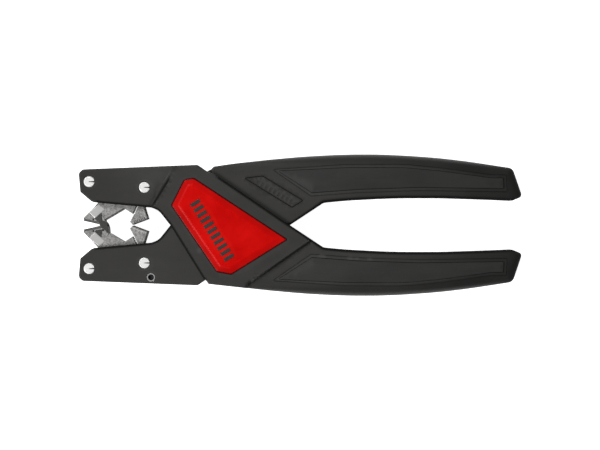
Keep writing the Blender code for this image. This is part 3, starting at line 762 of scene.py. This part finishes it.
def plate_rise(points, h, plate):
    """The height with the centre plate standing above the arm and handle of lever A."""
    x, y = points.T
    depth = depth_in(points, plate)
    h = h + (H_PLATE - h) * smooth(depth, -0.75, 0.25)
    open_end = np.where(x < -45.0, smooth(y, 16.0, 20.0), 0.0)
    open_end = np.where((x > -32.0) & (y < 0), smooth(-y, 19.0, 23.5), open_end)
    h = h - 0.25 * np.exp(-((depth + 0.9) / 0.45)**2) * (depth < 0) * (1 - open_end)
    fade, gap = groove_fade(points, 0.8)
    return h - 0.4 * fade * (1 - smooth(gap, 0.05, 0.5))


def lever_skin(points, lever, on):
    """Height of a lever's outer face, with its rounded edges and its engraved lines."""
    h = lever_level(points, lever)
    if lever == "a":
        h = plate_rise(points, h, on.plate)
    inner = 0.55 + 1.5 * smooth(points[:, 0], -2.0, 14.0)
    drop = roundover(distance(points, on.outline), inner, inner)
    along = smooth(points[:, 0], -34.0, 8.0)
    at_end = smooth(points[:, 0], 74.0, 88.0)
    width, height = 0.6 + 5.8 * along - 3.0 * at_end, 0.6 + 3.8 * along - 2.2 * at_end
    drop = np.maximum(drop, roundover(distance(points, on.outer, False), width, height))
    drop = drop + groove(points, on.grip_line, LINE_WIDTH, GRIP_LINE_DEEP)
    if lever == "b":
        drop = drop + groove(points, on.label, LINE_WIDTH, LABEL_LINE_DEEP)
    return h - drop


def lever_painted_shade(points, lever, on):
    """Painted shade: how much darker and duller the plastic is made along its inner edges, its
    steps and grooves, in a band inside the handles' outer roundover and towards its ends, where
    the light falls off.
    """
    # Painted shade along the inner edges, away from the outer contour.
    near = 1 - smooth(distance(points, on.outline), 0.6, 1.3)
    offsets = (points[:, None] - on.contour[None]).transpose(2, 0, 1)
    away = smooth(np.hypot(*offsets).min(1), 0.6, 2.4)
    from_outer = distance(points, on.outer, False)
    band = (smooth(from_outer, 0.6, 1.8) * (1 - smooth(from_outer, 3.6, 5.2))
            * smooth(points[:, 0], -30.0, 5.0))
    ends = 0.75 * smooth(points[:, 0], 35.0, 95.0)
    ends = ends + 0.3 * (1 - smooth(points[:, 0], -90.0, -50.0))
    tone = np.maximum(near * away, np.minimum(0.4 * band + ends, 0.75))
    # Painted shade along the label's engraved line.
    if lever == "b":
        return np.maximum(tone, 0.8 * (1 - smooth(distance(points, on.label), 0.05, 0.35)))
    # Painted shade over the ends of the step lines, where they would catch a highlight.
    for strength, line in STEP_END_SHADES:
        gap = distance(points, np.array(line), False)
        tone = np.maximum(tone, strength * (1 - smooth(gap, 0.4, 1.3)))
    # Painted shade: a dark line along the arm's step groove.
    fade, gap = groove_fade(points, 0.75)
    return np.maximum(tone, fade * (1 - smooth(gap, 0.3, 0.75)))


def lever_loops(lever):
    """The outlines of a lever's features, on the sides that its arm and handle are on."""
    is_a = lever == "a"
    arm_y, arm, handle = (1.0, list, flip) if is_a else (-1.0, flip, list)
    outline = rounded(LEVER_A if is_a else LEVER_B)
    x, y = outline.T
    outer = outline[(np.abs(y) > 12.0) & (x > -36.4) & ((y < 0) == is_a)]
    contour = outline[(np.abs(y) > 20.4) | (x < -85.0) | ((x > 78.0) & (np.abs(y) > 11.0))]
    holes = [circle((pin_x, arm_y * pin_y), PIN_HOLE_R, 32)
             for pin_x, pin_y in (FRONT_PIN, REAR_PIN)]
    sweeps, dashes = [], []
    if is_a:
        plate_edge = np.array((MOUTH[0][:2], NOTCH[2][:2]))
        contour = contour[distance(contour, plate_edge, False) > 2]
        sweeps = [rounded(SWEEP_LEFT, 0.1), rounded(SWEEP_RIGHT, 0.1)]
    else:
        holes.append(circle(STOP_PIN, STOP_HOLE_R, 28))
        run = np.array(DASHES_TO) - np.array(DASHES_FROM)
        dashes = [rounded(quad(place, run, 0.55, 0.85), 0.2)
                  for place in row(DASHES_FROM, DASHES_TO, DASHES)]
    return SimpleNamespace(
        outline=outline, outer=outer, contour=contour, holes=holes, sweeps=sweeps,
        dashes=dashes, plate=rounded(PLATE), label=rounded(LABEL),
        grip_seat=moved_in(rounded(handle(GRIP)), -0.12),
        grip_line=rounded(grown(handle(GRIP), 1.3)),
        badge_seat=moved_in(rounded(BADGE), -0.18), channel=rounded(arm(CHANNEL), 0.1),
        screw_seat=circle((ARM_SCREW[0], arm_y * ARM_SCREW[1]), SCREW_SEAT_R, 28),
        hub=circle(PIVOT, HUB_R, 72), bore=circle(PIVOT, BORE_R, 72),
        well=circle(PIVOT, WELL_R[lever], 36), recess=circle(PIVOT, RECESS_R, 40))


def lever_rings(lever, side, on):
    """The loops that the triangles of a lever keep to."""
    rings = [on.outline, on.grip_seat, on.channel, on.well, *on.holes,
             *groove_rings(on.grip_line, LINE_WIDTH)]
    if lever == "a":
        rings += [on.badge_seat, on.hub, on.bore, *on.sweeps]
        rings += [rounded(strip(*STEP_GROOVE, 7.6, by), 0.02) for by in (0.05, 0.25, 0.5)]
    else:
        rings += [on.hub, on.bore, on.recess, *groove_rings(on.label, LINE_WIDTH)]
    if side < 0:
        rings.append(on.screw_seat)
    return rings + on.dashes


def lever_points(lever, on):
    """Points inside a lever, closest together along its edges and beside the plate."""
    ringed = edge_points(on.outline, (0.06, 0.2, 0.42, 0.75, 1.2, 1.8, 2.6, 3.8, 5.2))
    grid = grid_points([on.outline, on.grip_seat], 1.9, 0.9)
    grid = grid[distance(grid, on.outline) > 2.0]
    beside = []
    if lever == "a":
        beside = [moved_in(on.plate, by) for by in (-0.9, -0.75, -0.45, -0.15, 0.25)]
    return np.concatenate([ringed, grid, *[line[inside(line, on.outline)] for line in beside]])


def near_pivot(places, radius):
    return np.hypot(places[:, 0] - PIVOT[0], places[:, 1] - PIVOT[1]) < radius


def lever_shell(lever, side):
    """One moulded half of a lever."""
    name = "lever_" + lever + "_shell_" + FACES[side]
    on = lever_loops(lever)

    def top_of(points, triangles, centres):
        top = lever_skin(points, lever, on)[triangles]
        if lever == "a":
            top[inside(centres, on.badge_seat)] = H_BADGE_SEAT
        else:
            top[near_pivot(centres, BORE_R)] = H_HUB
        top[inside(centres, on.grip_seat)] = H_GRIP_SEAT
        for dash in on.dashes:
            top[inside(centres, dash)] -= DASH_DEEP
        if side < 0:
            top[inside(centres, on.screw_seat)] = H_SCREW_SEAT
        return top

    def bottom_of(points, triangles, centres):
        bottom = np.full(triangles.shape, H_SPLIT)
        bottom[inside(centres, on.channel)] = H_CHANNEL
        if lever == "b":
            bottom[near_pivot(centres, RECESS_R)] = H_RECESS
            return bottom
        swept = inside(centres, on.sweeps[0]) | inside(centres, on.sweeps[1])
        bottom[swept] = H_RIM
        in_bore = near_pivot(centres, BORE_R)
        bottom[in_bore] = H_CHEEK
        bottom[in_bore & ~near_pivot(centres, HUB_R) & swept] = H_RIM
        return bottom

    def painted_shade_of(points):
        return lever_painted_shade(points, lever, on)

    def solid_of(centres):
        solid = inside(centres, on.outline)
        if lever == "b":
            solid |= near_pivot(centres, HUB_R)
        for hole in on.holes + [on.well]:
            solid &= ~inside(centres, hole)
        return solid

    obj = slab(name + "_moulded", side, lever_rings(lever, side, on), lever_points(lever, on),
               top_of, bottom_of, painted_shade_of, solid_of)
    return finished(obj, BLACK, "lever_" + lever, [name])


def grip_panel(lever, side):
    """The panel let into a handle, a little crowned."""
    outline = rounded(GRIP if lever == "b" else flip(GRIP), step=0.7)
    inner = np.concatenate((edge_points(outline, (0.06, 0.18, 0.35, 0.6, 1.2, 2.2)),
                            grid_points([outline], 1.9, 2.4)))

    def top_of(points, triangles, centres):
        depth = distance(points, outline)
        h = (lever_level(points, lever) + 0.05
             + (H_TOP - H_HANDLE - 0.05) * smooth(depth, 0.2, 3.6))
        return (h - roundover(depth, 0.4, 0.3))[triangles]

    node = "grip_panel_" + lever + "_" + FACES[side]
    obj = slab(node + "_moulded", side, [outline], inner, top_of, H_GRIP_SEAT + 0.3)
    return finished(obj, GRIP_BLACK, "lever_" + lever, [node])


def badge_marks():
    """Equal plain bars in a row, like the rungs of a ladder, sunk into the badge."""
    run = np.array(MARKS_TO) - np.array(MARKS_FROM)
    across = (-run[1], run[0])
    return [rounded(quad(place, across, 2.15, 0.72), 0.25, 0.6)
            for place in row(MARKS_FROM, MARKS_TO, MARKS)]


def badge(side):
    """The red badge: a raised field inside a wide soft bevel."""
    outline = rounded(BADGE, step=0.7)
    widths = (0.05, 0.2, 0.35, 0.55, 0.8, 1.3, 1.8, 2.0, 2.2, 2.4, 2.6, 2.8, 3.0, 3.4)
    inner = np.concatenate((edge_points(outline, widths), grid_points([outline], 1.5, 3.8)))
    marks = badge_marks()
    seats = [moved_in(mark, -0.06) for mark in marks]

    def top_of(points, triangles, centres):
        depth = distance(points, outline)
        bevel = 0.16 * np.clip(depth / BEVEL, 0, 1) + 0.19 * smooth(depth, BEVEL, 3.0)
        top = (H_PLATE + bevel - roundover(depth, 0.4, 0.3))[triangles]
        for seat in seats:
            top[inside(centres, seat)] = H_TOP - 0.45
        return top

    # Painted shade: a dark line round the badge's edge and a darker band over its bevel.
    def painted_shade_of(points):
        depth = distance(points, outline)
        return 0.8 * (1 - smooth(depth, 0.2, 0.6)) + 0.2 * (1 - smooth(depth, BEVEL, 2.4))

    for i, mark in enumerate(marks):
        chip("badge_mark_" + str(i + 1) + "_" + FACES[side], side, mark, H_TOP - 0.42,
             H_TOP - 0.12, MARK, "lever_a", 0.12)
    node = "badge_" + FACES[side]
    obj = slab(node + "_moulded", side, [outline] + seats, inner, top_of, 9.0, painted_shade_of)
    return finished(obj, RED, "lever_a", [node], 50.0)


for side in (1, -1):
    for lever in ("a", "b"):
        lever_shell(lever, side)
        grip_panel(lever, side)
    badge(side)

# ---------- pins, jaws and small parts


def pin_end(name, side, centre, body, nodes):
    """A turned pin end: a ring groove, a centre dimple and a scored line to the rim."""
    x, y = centre
    loop = circle(centre, PIN_R, 44)
    ring_in, ring_out = circle(centre, PIN_R * 0.66, 36), circle(centre, PIN_R * 0.76, 40)
    dimple = circle(centre, 0.22, 12)
    rim = x + PIN_R - 0.08
    score = rounded([(x + 0.1, y - 0.16), (rim, y - 0.3), (rim, y + 0.3), (x + 0.1, y + 0.16)],
                    0.05, 0.5)

    def top_of(points, triangles, centres):
        top = (H_RIM - roundover(distance(points, loop), 0.3, 0.25))[triangles]
        top[inside(centres, ring_out) & ~inside(centres, ring_in)] -= 0.05
        top[inside(centres, dimple)] = H_RIM - 0.3
        top[inside(centres, score)] = H_RIM - 0.5
        return top

    # Painted shade: a dark strip down in the scored line, so that the groove reads dark.
    chip(name + "_score_painted_shade", side, score, H_RIM - 0.6, H_RIM - 0.12, DARK, body,
         0.05)
    rings = [loop, ring_in, ring_out, dimple, score]
    obj = slab(name, side, rings, edge_points(loop, (0.05, 0.14, 0.3)), top_of, 5.5)
    return finished(obj, turned_face(centre), body, nodes)


def lathe(name, centre, upper, material, body, nodes, sides=40):
    """A turned piece, alike above and below: (radius, h) points from its axis outwards."""
    profile = upper + [(r, -h) for r, h in upper[::-1]]
    verts, faces = [], []
    for k in range(sides):
        angle = 2 * math.pi * k / sides
        verts += [((centre[0] + r * math.cos(angle)) * MM,
                   (centre[1] + r * math.sin(angle)) * MM, (MID + h) * MM)
                  for r, h in profile[1:-1]]
    rows, first_pole = len(profile) - 2, len(verts)
    verts += [(centre[0] * MM, centre[1] * MM, (MID + h) * MM)
              for h in (profile[0][1], profile[-1][1])]
    for k in range(sides):
        here, ahead = k * rows, (k + 1) % sides * rows
        faces += [(here + i, ahead + i, ahead + i + 1, here + i + 1)
                  for i in range(rows - 1)]
        faces.append((first_pole, ahead, here))
        faces.append((here + rows - 1, ahead + rows - 1, first_pole + 1))
    mesh = bpy.data.meshes.new(name)
    mesh.from_pydata(verts, [], faces)
    shape = bmesh.new()
    shape.from_mesh(mesh)
    bmesh.ops.recalc_face_normals(shape, faces=shape.faces)
    shape.to_mesh(mesh)
    shape.free()
    return finished(added(name, mesh), material, body, nodes, 30.0)


def jaw_pins(label, up, body):
    """The two pins of an arm: a waist inside and a scored head at each side."""
    for place, (x, y) in (("front", FRONT_PIN), ("rear", REAR_PIN)):
        centre = (x, up * y)
        node = "jaw_pin_" + label + "_" + place
        for side, face in FACES.items():
            pin_end(node + "_end_" + face, side, centre, body, [node])
        upper = [(0.0, 5.55), (WAIST_R - 0.15, 5.55), (WAIST_R, 5.4), (WAIST_R, 3.2),
                 (WAIST_R - 0.07, 3.0)]
        lathe(node + "_waist", centre, upper, STEEL, body, [node])


def stop_pin():
    """The hollow pin: a thin grey ring round its bore, with a black plug in the bore as painted
    shade.
    """
    upper = [(0.0, 1.0), (STOP_BORE_R, 1.0), (STOP_BORE_R, 7.8), (STOP_BORE_R + 0.08, 7.9),
             (STOP_R - 0.1, 7.9), (STOP_R, 7.8)]
    lathe("stop_pin_tube", STOP_PIN, upper, TUBE, "lever_b",
          ["stop_pin_hollow"])
    for side, face in FACES.items():
        # Painted shade: a black plug in each end of the bore, where the deep hole is dark.
        chip("stop_pin_bore_painted_shade_" + face, side, circle(STOP_PIN, STOP_BORE_R - 0.01, 28), 0.9, 6.2,
             BLACK_STEEL_AND_SHADE, "lever_b", 0.3)


def jaw_spring(label, up, body):
    """The torsion spring round a rear pin, with a short leg at each end."""
    start, end = (200.0, 1810.0) if up > 0 else (160.0, 1790.0)
    count = round((end - start) / 15.0)
    path = [(COIL_LEG, start, -COIL_HALF)]
    path += [(COIL_R, start + (end - start) * i / count, COIL_HALF * (2 * i / count - 1))
             for i in range(count + 1)]
    path.append((COIL_LEG, end, COIL_HALF))
    name = "jaw_spring_" + label
    curve = bpy.data.curves.new(name + "_wound", "CURVE")
    curve.dimensions = "3D"
    curve.bevel_depth = COIL_WIRE * MM
    curve.bevel_resolution = 3
    curve.use_fill_caps = True
    curve.materials.append(WIRE)
    spline = curve.splines.new("POLY")
    spline.points.add(len(path) - 1)
    for point, (radius, angle, h) in zip(spline.points, path):
        x = REAR_PIN[0] + radius * math.cos(math.radians(angle))
        y = up * REAR_PIN[1] + radius * math.sin(math.radians(angle))
        point.co = (x * MM, y * MM, (MID + h) * MM, 1.0)
    obj = added(name + "_wound", curve)
    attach(obj, body)
    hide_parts(name)


def front_jaw(label, up):
    """A front jaw with its insert, clamping profile and leaf, and dark strips of painted shade
    along its lower edge, in its gap and at its cheek edges.
    """
    turn = list if up > 0 else flip
    body = "front_jaw_set_" + label
    eased("front_jaw_" + label, JAW, body, 0.12)
    block("grip_insert_" + label + "_ground", turn(grown(INSERT, 0.42)), 5.5, INSERT_STEEL, body,
          ["grip_insert_" + label])
    profile = PROFILE_UPPER if up > 0 else PROFILE_LOWER
    for side, face in FACES.items():
        def add(name, outline, low, high, material=DARK, nodes=()):
            chip(name + "_" + label + "_" + face, side, outline, low, high, material, body,
                 0.1, nodes)

        add("clamp_profile_cast", turn(profile), 2.62, 5.32, JAW,
            ["clamp_profile_" + label])
        # Painted shadow of the jaw's gap.
        add("clamp_wedge", turn(GAP_SHADOW), 2.9, 5.4)
        # Painted shade along the jaw's lower edge.
        add("clamp_lining", turn(JAW_EDGE_SHADE), 2.9, 5.38, EDGE_SHADE_STEEL)
        add("clamp_rivet", circle((DOT[0], up * DOT[1]), DOT_R, 20), 2.9, 5.43, BLACK_STEEL_AND_SHADE)
        # Painted shadow in the gap beside the cheek.
        add("cheek_edge", turn(CHEEK_GAP_SHADOW), 2.8, 5.28)
        if up > 0:
            # Painted shade on the V edge's bevel.
            add("cheek_v_edge", V_BEVEL_SHADE, 2.8, 5.36)
            add("clamp_leaf", LEAF, 5.46, 5.6)
        else:
            add("clamp_pip", circle(PIP, PIP_R, 20), 2.9, 5.4, BLACK_STEEL_AND_SHADE)


def rear_jaw(label, up):
    """A rear jaw with its blade, the blade's dark edge and a row of teeth behind it."""
    turn = list if up > 0 else flip
    body = "rear_jaw_set_" + label
    eased("rear_jaw_" + label, JAW, body, 0.12)
    for side, face in FACES.items():
        end = "_" + label + "_" + face
        chip("stripping_blade_ground" + end, side, turn(BLADE), 2.62, 5.3, JAW, body,
             0.1, ["stripping_blade_" + label])
        chip("blade_edge" + end, side, turn(BLADE_EDGE), 2.7, 5.42, DARK, body)
        seat, seat_half = (BLACK_STEEL_AND_SHADE, 0.3) if up > 0 else (INSERT_STEEL, 0.13)
        chip("blade_seat_line" + end, side, turn(strip(TEETH_FROM, TEETH_TO, 2.6, seat_half)),
             2.7, 5.36, seat, body, 0.06)
        # Painted highlight on the rear jaw's front edge.
        chip("jaw_front_edge" + end, side, turn(EDGE_HIGHLIGHT_STRIP), 5.3, 5.42, SHINE, body,
             0.05)
        teeth = row(TEETH_FROM, TEETH_TO, TEETH) if up > 0 else []
        for i, tooth in enumerate(teeth):
            chip("blade_tooth_" + str(i + 1) + end, side, circle(tooth, 0.17, 10), 5.0, 5.42,
                 SHINE, body, 0.06)


for label, up, arm in (("upper", 1, "lever_a"), ("lower", -1, "lever_b")):
    jaw_pins(label, up, arm)
    jaw_spring(label, up, arm)
    front_jaw(label, up)
    rear_jaw(label, up)
stop_pin()

# CAD nodes that stay, with their finish.
KEPT = {"pivot_pin": STEEL, "pivot_bush": BRONZE, "thrust_washer": BRONZE,
        "pivot_retaining": WIRE, "opening_spring": WIRE,
        "leg_spacer": STEEL, "shell_screw": DARK}
for node, obj in frame["nodes"].items():
    for start, material in KEPT.items():
        if node.startswith(start):
            obj.data.materials.clear()
            obj.data.materials.append(material)


# ---------- stage


def stage():
    """A pale floor, soft light and the camera straight above."""
    world = bpy.data.worlds.new("studio")
    bpy.context.scene.world = world
    world.use_nodes = True
    background = world.node_tree.nodes["Background"]
    background.inputs["Color"].default_value = (1, 1, 1, 1)
    background.inputs["Strength"].default_value = 0.16
    bpy.ops.mesh.primitive_plane_add(size=4.0, location=(0, 0, -0.0002))
    floor = bpy.context.object
    floor.name = "floor"
    nodes = Nodes("floor_pale", 0.9)
    nodes.colour(nodes.ramp(nodes.noise(40.0), [(0.3, (0.93, 0.93, 0.93)),
                                                (0.7, (0.95, 0.95, 0.95))]))
    nodes.shader.inputs["Emission Color"].default_value = (1, 1, 1, 1)
    nodes.shader.inputs["Emission Strength"].default_value = 0.95
    floor.data.materials.append(nodes.material)

    def area_light(name, at, size, power):
        light = bpy.data.lights.new(name, "AREA")
        light.size = size
        light.energy = power
        obj = added(name, light)
        obj.location = at
        obj.rotation_euler = (-Vector(at)).to_track_quat("-Z", "Y").to_euler()

    area_light("key", (-0.40, -0.24, 0.50), 0.3, 3.5)
    area_light("fill", (-0.32, 0.40, 0.52), 0.35, 2.9)

    camera = bpy.data.cameras.new("camera")
    camera.sensor_width = 36.0
    distance_to_top = 1.05
    frame_width = 0.2436
    camera.lens = camera.sensor_width * distance_to_top / frame_width
    camera.clip_start, camera.clip_end = 0.01, 20.0
    holder = added("camera", camera)
    holder.location = (-0.0001, 0.00006, (MID + H_LEVER) * MM + distance_to_top)
    bpy.context.scene.camera = holder
    bpy.context.scene.view_settings.view_transform = "Standard"


stage()
